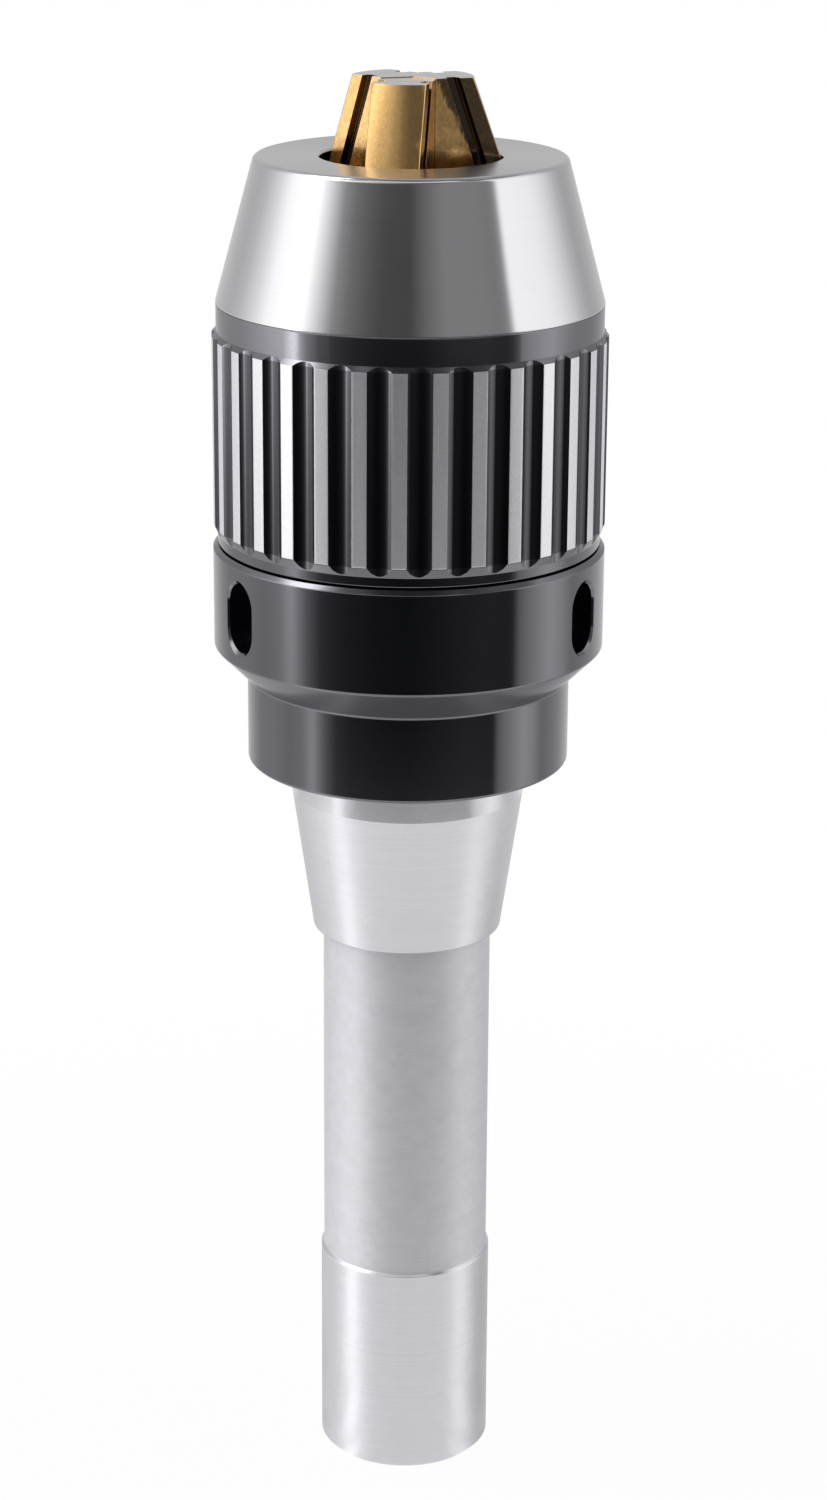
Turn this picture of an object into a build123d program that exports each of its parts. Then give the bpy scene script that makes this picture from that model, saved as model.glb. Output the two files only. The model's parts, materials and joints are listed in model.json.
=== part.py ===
from build123d import *
from math import radians, sin, sqrt, tan
import os

# Keyless drill chuck on an R8 shank, standing on the small end of the shank with its jaws closed.
# Millimetres. Z is the spindle axis, from the drawbar end at 0 up to the jaw tips.
# Heights named *_z are measured from the drawbar end. Azimuths are degrees about Z from +X.

# R8 shank
pilot_radius = 12.0585
pilot_length = 30.5
pilot_chamfer = 0.7
relief_radius = 11.67
taper_small_z = 80.15
taper_length = 19.9
taper_half_angle = 8.425
taper_large_radius = 15.98
shank_top_z = 104.87
keyway_width = 4.06
keyway_depth = 2.4
keyway_length = 66.0
keyway_azimuth = 90.0
drawbar_hole_radius = 4.95
drawbar_hole_depth = 32.0
drawbar_mouth_radius = 6.0
drill_point_slope = 0.6

# Fits, all radial or per side
seat_clearance = 0.02
running_clearance = 0.05
loose_clearance = 0.3
slot_clearance = 0.15
ball_clearance = 0.05

# How far a cutter runs past the face that it opens
overrun = 1.0

# Rear collar with its neck and wrench slots
neck_wall = 3.97
neck_length = 11.85
neck_edge_chamfer = 0.4
collar_overhang = 0.05
collar_cone_length = 4.45
collar_body_length = 14.03
collar_edge_chamfer = 0.6
collar_cone_fillet = 0.5
collar_shoulder_depth = 1.2
collar_rear_wall = 2.13
collar_seat_shoulder = 0.6
wrench_slot_width = 6.2
wrench_slot_height = 9.5
wrench_slot_floor_wall = 2.0
wrench_slot_drop = 7.35
wrench_slot_chamfer = 0.45
wrench_slot_azimuth = 91.8
wrench_slot_count = 3

# Grub screws in the slot floors, and the key under the neck
grub_radius = 2.4
grub_length = 3.9
grub_socket_width = 2.5
grub_socket_depth = 1.8
grub_sink = 0.15
key_width = 4.0
key_height = 3.6
key_length = 12.0
key_azimuth = 31.8
key_rise = 3.0

# Dust seal in the collar's front face
dust_seal_rise = 4.5
dust_seal_section = 0.85
dust_seal_stand = 0.1
seal_flat_share = 0.4

# Sleeve shell
seam_gap = 0.25
sleeve_wall = 1.58
land_height = 0.62
lower_band_length = 1.35
lower_chamfer_length = 1.35
upper_chamfer_length = 0.7
upper_band_length = 3.7
sleeve_edge_chamfer = 0.2
lip_thickness = 3.05
hood_bore_step = 1.2
flute_count = 32
flute_width = 3.25
flute_depth = 0.59
flute_azimuth = -87.0

# Thrust bearing under the core's flange
cup_wall = 2.3
flange_bush_wall = 1.6
flange_thickness = 4.1
race_thickness = 1.6
race_groove_depth = 0.4
race_groove_relief = 0.1
rear_race_bore_gap = 0.6
front_race_rim_gap = 0.6
ball_radius = 1.5
ball_count = 12
cage_face_gap = 0.45
cage_wall = 0.4
cage_side_gap = 0.25
washer_thickness = 0.5
washer_rim_gap = 1.0
journal_bush_wall = 1.15
journal_bush_end_gap = 0.15
flange_bush_height = 3.6

# Hood with the conical bore
hood_rim_length = 0.55
hood_cone_length = 18.55
hood_cone_angle = 15.5
hood_edge_fillet = 0.8
hood_mouth_chamfer = 0.3
hood_spigot_wall = 1.9
hood_seal_section = 0.78
hood_seal_drop = 3.5

# Jaws
capacity_radius = 6.5
jaw_tilt = 19.0
jaw_stand = 10.2
jaw_length = 29.17
jaw_tip_radius = 8.1
jaw_width = 7.2
rail_thickness = 1.85
groove_width = 1.74
groove_depth = 1.3
groove_fillet = 0.5
rail_edge_chamfer = 0.15
jaw_back_gap = 0.4
jaw_foot_gap = 0.5
grip_length = 20.0
grip_relief_length = 4.5
jaw_flank_gap = 0.03
jaw_azimuth = -102.8
jaw_count = 3
tail_inner_radius = 4.0
tail_length = 5.4
tail_neck_inset = 1.1
tail_neck_length = 4.55
tail_head_ledge = 0.8
tail_head_height = 5.05

# Drive screw and the thread bore it runs in
screw_rim = 0.1
screw_head_floor = 3.25
screw_lip_thickness = 3.4
screw_radius = 11.45
screw_length = 31.0
screw_end_chamfer = 1.2
screw_slot_end_gap = 0.4
stop_gap = 0.5

# Jaw guide
guide_top_drop = 3.0
guide_bore_gap = 0.5
guide_lip_reach = 1.1
guide_ring_thickness = 3.5
guide_foot_gap = 0.65
guide_skirt_length = 1.7
guide_pin_radius = 0.5
guide_pin_length = 5.2
guide_pin_sink = 2.2

# The jaws draw back along the tilt as they open
opening_drop = capacity_radius / tan(radians(jaw_tilt))

# Radii that follow from the capacity, from the tails outwards
tail_end_radius = tail_inner_radius + tail_length
screw_head_radius = tail_end_radius + capacity_radius + screw_rim
cup_radius = screw_head_radius + loose_clearance
journal_radius = cup_radius + cup_wall
cage_half_width = ball_radius + ball_clearance + cage_wall
ball_track_radius = journal_radius + cage_side_gap + cage_half_width
bearing_bore_radius = ball_track_radius + cage_half_width + cage_side_gap
flange_radius = bearing_bore_radius - flange_bush_wall
hood_bore_radius = bearing_bore_radius + hood_bore_step
hood_spigot_bore_radius = hood_bore_radius - hood_spigot_wall
jaw_lower_radius = hood_spigot_bore_radius - capacity_radius - jaw_back_gap
sleeve_band_radius = hood_bore_radius + sleeve_wall
land_radius = sleeve_band_radius + land_height
collar_radius = land_radius + collar_overhang
collar_seat_radius = journal_radius - collar_seat_shoulder
neck_radius = collar_seat_radius + neck_wall
wrench_slot_floor_radius = collar_seat_radius + wrench_slot_floor_wall
dust_seal_radius = journal_radius + dust_seal_rise
thread_bore_radius = screw_radius + running_clearance
rail_tip_radius = sqrt(jaw_tip_radius ** 2 - (jaw_width / 2) ** 2)
tail_neck_width = jaw_width - 2 * tail_neck_inset
tail_head_width = jaw_width + 2 * tail_head_ledge

# Heights that follow from the stack, from the shank up
collar_top_z = shank_top_z + neck_length + collar_cone_length + collar_body_length
collar_bore_z = shank_top_z + collar_rear_wall
journal_z = collar_top_z - collar_shoulder_depth
wrench_slot_z = collar_top_z - wrench_slot_drop
sleeve_bottom_z = collar_top_z + seam_gap
land_bottom_z = sleeve_bottom_z + lower_band_length + lower_chamfer_length
rear_race_z = sleeve_bottom_z + lip_thickness
ball_z = rear_race_z + race_thickness - race_groove_depth + ball_radius + ball_clearance
front_race_z = ball_z + ball_radius + ball_clearance - race_groove_depth
cage_thickness = front_race_z - rear_race_z - race_thickness - 2 * cage_face_gap
washer_z = front_race_z + race_thickness
flange_z = washer_z + washer_thickness + running_clearance
flange_top_z = flange_z + flange_thickness

# Heights of the jaws and of the hood that they stand out of
jaw_foot_z = flange_top_z + opening_drop + jaw_foot_gap
jaw_top_z = jaw_foot_z + jaw_length
hood_face_z = jaw_top_z - jaw_stand
sleeve_top_z = hood_face_z - hood_cone_length - hood_rim_length
land_top_z = sleeve_top_z - upper_band_length - upper_chamfer_length

# Heights of the jaw guide and the screw at rest
guide_foot_z = flange_top_z + guide_foot_gap
hood_step_z = guide_foot_z + guide_skirt_length
hood_foot_z = hood_step_z + guide_ring_thickness
guide_top_z = hood_face_z - guide_top_drop
tail_head_top_z = jaw_foot_z - tail_neck_length
tail_head_foot_z = tail_head_top_z - tail_head_height
screw_slot_floor_z = tail_head_foot_z - slot_clearance
screw_lip_z = tail_head_top_z + slot_clearance
screw_head_foot_z = screw_slot_floor_z - screw_head_floor
screw_head_top_z = screw_lip_z + screw_lip_thickness
screw_foot_z = screw_head_foot_z - screw_length
cup_floor_z = screw_head_foot_z - opening_drop - loose_clearance
thread_bore_floor_z = screw_foot_z - opening_drop - stop_gap


def on_jaw_line(tip_radius, z):
    return tip_radius + (jaw_top_z - z) * tan(radians(jaw_tilt))


def height_on_jaw_line(tip_radius, radius):
    return jaw_top_z - (radius - tip_radius) / tan(radians(jaw_tilt))


def turned(*outline):
    return revolve(Plane.XZ * make_face(Polyline(*outline, close=True)), Axis.Z)


def ring(inner, outer, low, high):
    return turned((inner, low), (outer, low), (outer, high), (inner, high))


def block(x_low, x_high, y_half, z_low, z_high):
    middle = ((x_low + x_high) / 2, 0, (z_low + z_high) / 2)
    return Pos(*middle) * Box(x_high - x_low, 2 * y_half, z_high - z_low)


def drum(radius, low, high):
    return Pos(0, 0, (low + high) / 2) * Cylinder(radius, high - low)


def around(shape, count, azimuth):
    return [Rot(0, 0, azimuth + 360 * i / count) * shape for i in range(count)]


# A rubber ring of lozenge section, as wide and as tall as a round one
def seal_ring(radius, section, z):
    flat = section * seal_flat_share
    return turned((radius - flat, z - section), (radius + flat, z - section),
                  (radius + section, z - flat), (radius + section, z + flat),
                  (radius + flat, z + section), (radius - flat, z + section),
                  (radius - section, z + flat), (radius - section, z - flat))


# A plane at a radius, facing outwards along an azimuth of 0, with its x axis up the spindle
def side_plane(radius, z):
    return Plane(origin=(radius, 0, z), x_dir=(0, 0, 1), z_dir=(1, 0, 0))


def key_cutter(clearance):
    low = collar_seat_radius - key_height / 2 - clearance
    high = collar_seat_radius + key_height / 2 + clearance
    foot = collar_bore_z + key_rise - clearance
    key = block(low, high, key_width / 2 + clearance, foot, foot + key_length + 2 * clearance)
    return Rot(0, 0, key_azimuth) * key


def grub_cylinder(radius, inner, outer):
    return extrude(side_plane(inner, wrench_slot_z) * Circle(radius), amount=outer - inner)


def grub_holes():
    inner = wrench_slot_floor_radius - grub_sink - grub_length - seat_clearance
    hole = grub_cylinder(grub_radius + seat_clearance, inner, wrench_slot_floor_radius)
    return around(hole, wrench_slot_count, wrench_slot_azimuth)


# R8 shank, collar seat, journal and thrust flange in one piece
def make_shank_core():
    taper_large_z = taper_small_z + taper_length
    taper_small_radius = taper_large_radius - taper_length * tan(radians(taper_half_angle))
    relief_step = pilot_radius - relief_radius
    core = turned(
        (0, 0), (pilot_radius - pilot_chamfer, 0), (pilot_radius, pilot_chamfer),
        (pilot_radius, pilot_length), (relief_radius, pilot_length + relief_step),
        (relief_radius, taper_small_z), (taper_small_radius, taper_small_z),
        (taper_large_radius, taper_large_z), (taper_large_radius, collar_bore_z),
        (collar_seat_radius, collar_bore_z), (collar_seat_radius, journal_z),
        (journal_radius, journal_z), (journal_radius, flange_z),
        (flange_radius, flange_z), (flange_radius, flange_top_z),
        (cup_radius, flange_top_z), (cup_radius, cup_floor_z),
        (thread_bore_radius, cup_floor_z), (thread_bore_radius, thread_bore_floor_z),
        (0, thread_bore_floor_z))
    drawbar_point_z = drawbar_hole_depth + drawbar_hole_radius * drill_point_slope
    mouth_depth = drawbar_mouth_radius - drawbar_hole_radius
    drawbar_hole = turned(
        (0, 0), (drawbar_mouth_radius, 0), (drawbar_hole_radius, mouth_depth),
        (drawbar_hole_radius, drawbar_hole_depth), (0, drawbar_point_z))
    keyway_floor = pilot_radius - keyway_depth
    keyway = block(keyway_floor, pilot_radius + overrun, keyway_width / 2, -overrun, keyway_length)
    core -= drawbar_hole
    core -= Rot(0, 0, keyway_azimuth) * keyway
    core -= key_cutter(seat_clearance)
    return core - grub_holes()


def make_rear_collar():
    neck_top_z = shank_top_z + neck_length
    cone_top_z = neck_top_z + collar_cone_length
    rear_bore = taper_large_radius + seat_clearance
    seat_bore = collar_seat_radius + seat_clearance
    journal_bore = journal_radius + loose_clearance
    groove = dust_seal_section + running_clearance
    groove_floor_z = collar_top_z + dust_seal_stand - 2 * dust_seal_section
    collar = turned(
        (rear_bore, shank_top_z), (neck_radius - neck_edge_chamfer, shank_top_z),
        (neck_radius, shank_top_z + neck_edge_chamfer), (neck_radius, neck_top_z),
        (collar_radius, cone_top_z), (collar_radius, collar_top_z - collar_edge_chamfer),
        (collar_radius - collar_edge_chamfer, collar_top_z),
        (dust_seal_radius + groove, collar_top_z), (dust_seal_radius + groove, groove_floor_z),
        (dust_seal_radius - groove, groove_floor_z), (dust_seal_radius - groove, collar_top_z),
        (journal_bore, collar_top_z), (journal_bore, journal_z),
        (seat_bore, journal_z), (seat_bore, collar_bore_z), (rear_bore, collar_bore_z))
    soft = [e for e in collar.edges().filter_by(GeomType.CIRCLE)
            if abs(e.center().Z - neck_top_z) < 0.01 or abs(e.center().Z - cone_top_z) < 0.01]
    collar = fillet(soft, collar_cone_fillet)
    outline = SlotOverall(wrench_slot_height, wrench_slot_width)
    slot = extrude(side_plane(wrench_slot_floor_radius, wrench_slot_z) * outline,
                   amount=collar_radius - wrench_slot_floor_radius + overrun)
    bevel = extrude(side_plane(collar_radius - wrench_slot_chamfer, wrench_slot_z) * outline,
                    amount=2 * wrench_slot_chamfer, taper=-45)
    collar -= around(slot, wrench_slot_count, wrench_slot_azimuth)
    collar -= around(bevel, wrench_slot_count, wrench_slot_azimuth)
    collar -= grub_holes()
    key_path = block(collar_seat_radius - overrun, collar_seat_radius + key_height / 2 + seat_clearance,
                     key_width / 2 + seat_clearance, collar_bore_z + key_rise, journal_z)
    collar -= Rot(0, 0, key_azimuth) * key_path
    return collar


def make_collar_key():
    return key_cutter(0)


def make_collar_screws():
    outer = wrench_slot_floor_radius - grub_sink
    socket = side_plane(outer - grub_socket_depth, wrench_slot_z) * RegularPolygon(
        grub_socket_width / 2, 6, major_radius=False)
    screw = grub_cylinder(grub_radius, outer - grub_length, outer)
    screw -= extrude(socket, amount=grub_socket_depth)
    return Compound(children=around(screw, wrench_slot_count, wrench_slot_azimuth))


def make_dust_seal():
    return seal_ring(dust_seal_radius, dust_seal_section,
                     collar_top_z + dust_seal_stand - dust_seal_section)


# One flute is a round cutter laid along the sleeve, sunk to leave the stated width at the lands
def flute_cutter():
    chord_radius = sqrt(land_radius ** 2 - (flute_width / 2) ** 2)
    depth = flute_depth - (land_radius - chord_radius)
    cutter_radius = ((flute_width / 2) ** 2 + depth ** 2) / (2 * depth)
    centre = chord_radius - depth + cutter_radius
    return Pos(centre, 0, 0) * drum(cutter_radius, sleeve_bottom_z + lower_band_length / 2,
                                    sleeve_top_z - upper_band_length / 2)


def make_fluted_sleeve():
    lower_band_z = sleeve_bottom_z + lower_band_length
    upper_band_z = land_top_z + upper_chamfer_length
    lip_bore = journal_radius + running_clearance + journal_bush_wall
    sleeve = turned(
        (lip_bore, sleeve_bottom_z), (sleeve_band_radius - sleeve_edge_chamfer, sleeve_bottom_z),
        (sleeve_band_radius, sleeve_bottom_z + sleeve_edge_chamfer),
        (sleeve_band_radius, lower_band_z), (land_radius, land_bottom_z),
        (land_radius, land_top_z), (sleeve_band_radius, upper_band_z),
        (sleeve_band_radius, sleeve_top_z), (hood_bore_radius, sleeve_top_z),
        (hood_bore_radius, hood_step_z), (bearing_bore_radius, hood_step_z),
        (bearing_bore_radius, rear_race_z), (lip_bore, rear_race_z))
    return sleeve - around(flute_cutter(), flute_count, flute_azimuth)


# Hood: the bore's cone follows the jaws' backs, and the spigot runs down inside the sleeve
def make_nose_cone():
    bore_tip = jaw_tip_radius + loose_clearance
    mouth_radius = on_jaw_line(bore_tip, hood_face_z)
    cone_foot_z = height_on_jaw_line(bore_tip, hood_spigot_bore_radius)
    mouth_foot_z = hood_face_z - hood_mouth_chamfer
    face_radius = sleeve_band_radius - hood_cone_length * tan(radians(hood_cone_angle))
    spigot_radius = hood_bore_radius - running_clearance
    groove_floor = hood_bore_radius - 2 * hood_seal_section
    groove_top_z = sleeve_top_z - hood_seal_drop + hood_seal_section + running_clearance
    groove_foot_z = groove_top_z - 2 * (hood_seal_section + running_clearance)
    hood = turned(
        (hood_spigot_bore_radius, hood_foot_z), (spigot_radius, hood_foot_z),
        (spigot_radius, groove_foot_z), (groove_floor, groove_foot_z),
        (groove_floor, groove_top_z), (spigot_radius, groove_top_z),
        (spigot_radius, sleeve_top_z), (sleeve_band_radius, sleeve_top_z),
        (sleeve_band_radius, sleeve_top_z + hood_rim_length), (face_radius, hood_face_z),
        (mouth_radius + hood_mouth_chamfer, hood_face_z),
        (on_jaw_line(bore_tip, mouth_foot_z), mouth_foot_z),
        (hood_spigot_bore_radius, cone_foot_z))
    rim = hood.edges().filter_by(GeomType.CIRCLE).group_by(Axis.Z)[-1].sort_by(SortBy.RADIUS)[-1]
    hood = fillet(rim, hood_edge_fillet)
    return hood - around(guide_pin(seat_clearance), jaw_count, jaw_azimuth + 180 / jaw_count)


def make_nose_seal():
    return seal_ring(hood_bore_radius - running_clearance / 2 - hood_seal_section,
                     hood_seal_section - running_clearance / 2, sleeve_top_z - hood_seal_drop)


def guide_pin(clearance):
    circle_radius = (hood_spigot_bore_radius + hood_bore_radius) / 2
    low = hood_foot_z - guide_pin_sink - clearance
    return Pos(circle_radius, 0, 0) * drum(guide_pin_radius + clearance, low,
                                              low + guide_pin_length + 2 * clearance)


# A strip that runs down the jaw's tilt between two depths under the rail's outer corner
def tilted_strip(outer_depth, inner_depth, y_low, y_high, low, high):
    outer_tip = rail_tip_radius - outer_depth
    inner_tip = rail_tip_radius - inner_depth
    outline = Polyline((on_jaw_line(inner_tip, low), low), (on_jaw_line(outer_tip, low), low),
                       (on_jaw_line(outer_tip, high), high), (on_jaw_line(inner_tip, high), high),
                       close=True)
    return Pos(0, y_high, 0) * extrude(Plane.XZ * make_face(outline), amount=y_high - y_low)


# The way one jaw slides in: as wide as the jaw, with a lip on each side for its groove
def guide_slot():
    half = jaw_width / 2 + slot_clearance
    low = guide_foot_z - overrun
    high = guide_top_z + overrun
    outer_depth = rail_thickness + slot_clearance
    inner_depth = rail_thickness + groove_width - slot_clearance
    lip = tilted_strip(outer_depth, inner_depth, half - guide_lip_reach, half + overrun,
                       low - overrun, high + overrun)
    way = block(0, hood_bore_radius, half, low, high) - lip - mirror(lip, Plane.XZ)
    return way & drum(hood_spigot_bore_radius, low, high)


def make_jaw_guide():
    seat_tip = jaw_tip_radius + loose_clearance - running_clearance
    wall_radius = hood_spigot_bore_radius - running_clearance
    ring_radius = hood_bore_radius - running_clearance
    ring_top_z = hood_step_z + guide_ring_thickness
    head_room_z = jaw_foot_z + loose_clearance
    drill_room = capacity_radius + guide_bore_gap
    cone = turned(
        (cup_radius, guide_foot_z), (wall_radius, guide_foot_z), (wall_radius, hood_step_z),
        (ring_radius, hood_step_z), (ring_radius, ring_top_z), (wall_radius, ring_top_z),
        (wall_radius, height_on_jaw_line(seat_tip, wall_radius)),
        (on_jaw_line(seat_tip, guide_top_z), guide_top_z), (drill_room, guide_top_z),
        (drill_room, head_room_z), (cup_radius, head_room_z))
    guide = cone - around(guide_slot(), jaw_count, jaw_azimuth)
    return guide - around(guide_pin(seat_clearance), jaw_count, jaw_azimuth + 180 / jaw_count)


def make_guide_pins():
    return Compound(children=around(guide_pin(0), jaw_count, jaw_azimuth + 180 / jaw_count))


def race(inner, outer, low, groove_up):
    groove_z = ball_z + (race_groove_relief if groove_up else -race_groove_relief)
    section = ball_radius + ball_clearance + race_groove_relief
    groove = Pos(0, 0, groove_z) * Torus(ball_track_radius, section)
    return ring(inner, outer, low, low + race_thickness) - groove


def make_rear_race():
    return race(journal_radius + rear_race_bore_gap, bearing_bore_radius - seat_clearance,
                rear_race_z, True)


def make_front_race():
    return race(journal_radius + seat_clearance, bearing_bore_radius - front_race_rim_gap,
                front_race_z, False)


def make_preload_washer():
    return ring(journal_radius + running_clearance, bearing_bore_radius - washer_rim_gap,
                washer_z, washer_z + washer_thickness)


def make_thrust_balls():
    ball = Pos(ball_track_radius, 0, ball_z) * Sphere(ball_radius)
    return Compound(children=around(ball, ball_count, 0))


def make_ball_cage():
    low = ball_z - cage_thickness / 2
    pocket = Pos(ball_track_radius, 0, ball_z) * Cylinder(ball_radius + ball_clearance,
                                                          2 * cage_thickness)
    cage = ring(ball_track_radius - cage_half_width, ball_track_radius + cage_half_width,
                low, low + cage_thickness)
    return cage - around(pocket, ball_count, 0)


def make_journal_bush():
    inner = journal_radius + running_clearance
    return ring(inner, inner + journal_bush_wall - seat_clearance,
                sleeve_bottom_z + journal_bush_end_gap, rear_race_z - journal_bush_end_gap)


def make_flange_bush():
    low = flange_z + (flange_thickness - flange_bush_height) / 2
    return ring(flange_radius + seat_clearance, bearing_bore_radius - running_clearance,
                low, low + flange_bush_height)


# Left-hand screw: its head carries a T-slot for each jaw's tail
def make_drive_screw():
    screw = drum(screw_head_radius, screw_head_foot_z, screw_head_top_z)
    screw += turned((0, screw_foot_z), (screw_radius - screw_end_chamfer, screw_foot_z),
                    (screw_radius, screw_foot_z + screw_end_chamfer),
                    (screw_radius, screw_head_foot_z), (0, screw_head_foot_z))
    slot_start = tail_inner_radius - screw_slot_end_gap
    neck = block(slot_start, screw_head_radius + overrun, tail_neck_width / 2 + slot_clearance,
                 screw_slot_floor_z, screw_head_top_z + overrun)
    head = block(slot_start, screw_head_radius + overrun, tail_head_width / 2 + slot_clearance,
                 screw_slot_floor_z, screw_lip_z)
    return screw - around(neck + head, jaw_count, jaw_azimuth)


# One jaw, pointing along an azimuth of 0: a 120 degree wedge with a tilted rounded back
def jaw_body():
    reach = on_jaw_line(jaw_tip_radius, jaw_foot_z)
    shoulder_z = height_on_jaw_line(jaw_tip_radius, jaw_lower_radius)
    side = Polyline((0, jaw_top_z), (reach, jaw_top_z), (reach, jaw_foot_z),
                    (tail_inner_radius, jaw_foot_z),
                    (tail_inner_radius, jaw_top_z - grip_length - grip_relief_length),
                    (0, jaw_top_z - grip_length), close=True)
    slab = extrude(Plane.XZ * make_face(side), amount=jaw_width / 2, both=True)
    back = turned((0, jaw_foot_z), (jaw_lower_radius, jaw_foot_z), (jaw_lower_radius, shoulder_z),
                  (jaw_tip_radius, jaw_top_z), (0, jaw_top_z))
    apex = jaw_flank_gap / sin(radians(60))
    flank = reach * tan(radians(60))
    flanks = make_face(Polyline((apex, 0), (apex + reach, flank), (apex + reach, -flank), close=True))
    wedge = Pos(0, 0, jaw_foot_z) * extrude(flanks, amount=jaw_length)
    return slab & back & wedge


def make_jaw():
    half = jaw_width / 2
    jaw = jaw_body()
    corners = [e for e in jaw.edges() if abs(abs(e.center().Y) - half) < 0.01
               and e.center().X > jaw_tip_radius and e.length > jaw_stand]
    jaw = chamfer(corners, rail_edge_chamfer)
    groove = tilted_strip(rail_thickness, rail_thickness + groove_width, half - groove_depth,
                          half + overrun, jaw_foot_z - overrun, jaw_top_z + overrun)
    floor = [e for e in groove.edges() if abs(e.center().Y - half + groove_depth) < 0.01
             and e.length > jaw_length]
    groove = fillet(floor, groove_fillet)
    jaw -= [groove, mirror(groove, Plane.XZ)]
    neck = block(tail_inner_radius, tail_end_radius, tail_neck_width / 2, tail_head_foot_z, jaw_foot_z)
    head = block(tail_inner_radius, tail_end_radius, tail_head_width / 2, tail_head_foot_z, tail_head_top_z)
    swing = screw_head_radius - slot_clearance
    head &= Pos(-capacity_radius, 0, 0) * drum(swing, tail_head_foot_z, tail_head_top_z)
    return jaw + neck + head


def main():
    os.makedirs("parts", exist_ok=True)
    pieces = {
        "shank_core": make_shank_core(),
        "rear_collar": make_rear_collar(),
        "collar_key": make_collar_key(),
        "collar_screws": make_collar_screws(),
        "dust_seal": make_dust_seal(),
        "flange_bush": make_flange_bush(),
        "front_race": make_front_race(),
        "preload_washer": make_preload_washer(),
        "fluted_sleeve": make_fluted_sleeve(),
        "nose_cone": make_nose_cone(),
        "jaw_guide": make_jaw_guide(),
        "guide_pins": make_guide_pins(),
        "rear_race": make_rear_race(),
        "journal_bush": make_journal_bush(),
        "nose_seal": make_nose_seal(),
        "thrust_balls": make_thrust_balls(),
        "ball_cage": make_ball_cage(),
        "drive_screw": make_drive_screw(),
    }
    for letter, jaw in zip("abc", around(make_jaw(), jaw_count, jaw_azimuth)):
        pieces["jaw_" + letter] = jaw
    for name, piece in pieces.items():
        export_step(piece, f"parts/{name}.step")


main()
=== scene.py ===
import json
import math

import bmesh
import bpy
from mathutils import Matrix, Vector


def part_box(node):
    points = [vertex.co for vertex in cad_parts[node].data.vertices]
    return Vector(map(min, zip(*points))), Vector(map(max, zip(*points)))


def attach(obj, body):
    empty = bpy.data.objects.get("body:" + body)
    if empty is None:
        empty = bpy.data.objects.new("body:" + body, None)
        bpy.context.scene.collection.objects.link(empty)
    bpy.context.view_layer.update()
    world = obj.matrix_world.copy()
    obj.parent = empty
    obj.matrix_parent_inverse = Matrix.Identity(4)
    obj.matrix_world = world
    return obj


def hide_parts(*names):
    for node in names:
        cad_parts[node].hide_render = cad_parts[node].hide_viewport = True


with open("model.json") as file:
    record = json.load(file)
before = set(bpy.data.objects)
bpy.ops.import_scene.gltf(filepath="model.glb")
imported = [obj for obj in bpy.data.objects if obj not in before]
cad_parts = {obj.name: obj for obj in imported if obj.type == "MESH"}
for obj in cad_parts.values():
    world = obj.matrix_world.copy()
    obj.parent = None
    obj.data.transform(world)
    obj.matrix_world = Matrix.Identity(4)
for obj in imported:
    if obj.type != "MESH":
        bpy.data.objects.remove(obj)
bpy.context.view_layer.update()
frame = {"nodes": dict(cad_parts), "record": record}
scene = bpy.context.scene
mm = 0.001
past = 1.0  # how far a cutter reaches past what it cuts, in millimetres
jawTilt, jawTop = 19.0, 197.197  # the jaws' lean off the spindle in degrees, their tips' height


# shader maths: a socket that takes part in sums

class Num:
    def __init__(self, paint, socket):
        self.paint, self.socket = paint, socket

    def __add__(self, other):
        return self.paint.math("ADD", self, other)

    def __sub__(self, other):
        return self.paint.math("SUBTRACT", self, other)

    def __rsub__(self, other):
        return self.paint.math("SUBTRACT", other, self)

    def __mul__(self, other):
        return self.paint.math("MULTIPLY", self, other)

    def __truediv__(self, other):
        return self.paint.math("DIVIDE", self, other)

    __radd__, __rmul__ = __add__, __mul__


class Wiring:  # adds nodes to a tree
    def __init__(self, tree):
        self.tree = tree

    def node(self, kind, settings=None, inputs=None):
        made = self.tree.nodes.new(kind)
        for key, value in (settings or {}).items():
            if key == "stops":
                fillRamp(made.color_ramp, value)
            else:
                setattr(made, key, value)
        for key, value in (inputs or {}).items():
            self.plug(value, made.inputs[key])
        return made

    def plug(self, value, socket):
        if isinstance(value, Num):
            value = value.socket
        if isinstance(value, bpy.types.NodeSocket):
            self.tree.links.new(value, socket)
        else:
            socket.default_value = value


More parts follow.
